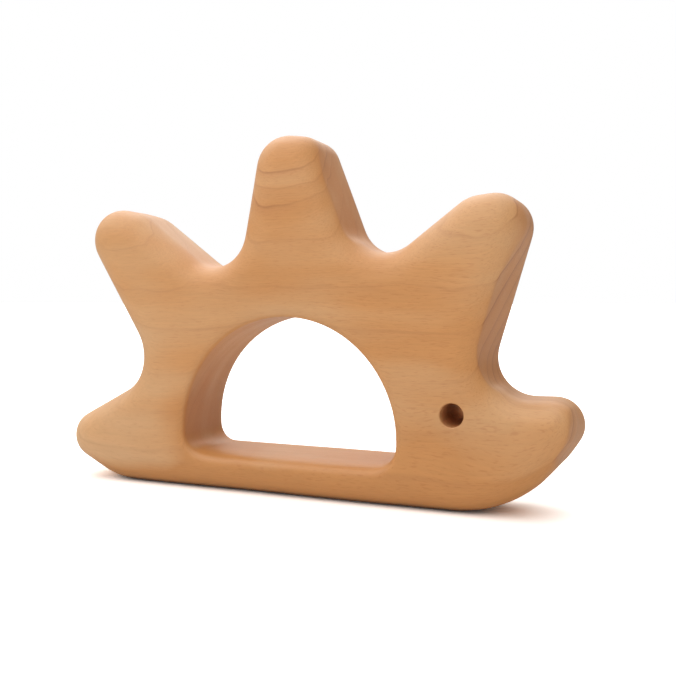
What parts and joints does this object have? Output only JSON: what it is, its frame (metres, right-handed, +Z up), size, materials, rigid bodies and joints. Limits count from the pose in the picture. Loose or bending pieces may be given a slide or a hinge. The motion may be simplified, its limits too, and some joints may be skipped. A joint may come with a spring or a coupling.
{
  "type": "wooden hedgehog grasping toy",
  "caption": "Flat hedgehog figurine sawn from one hardwood board, with rounded spines, pointed nose and tail, an arched hand window and a drilled eye.",
  "frame": {"origin": "on the table, under the middle of the overall box", "axes": "+X towards the nose along the length, +Y through the board's thickness towards the back face, +Z up"},
  "size_m": [0.1184, 0.018, 0.0777],
  "materials": {
    "oiled_hardwood": "oiled satin"
  },
  "bodies": {
    "root": {"hedgehog_body": "oiled_hardwood"}
  },
  "joints": []
}
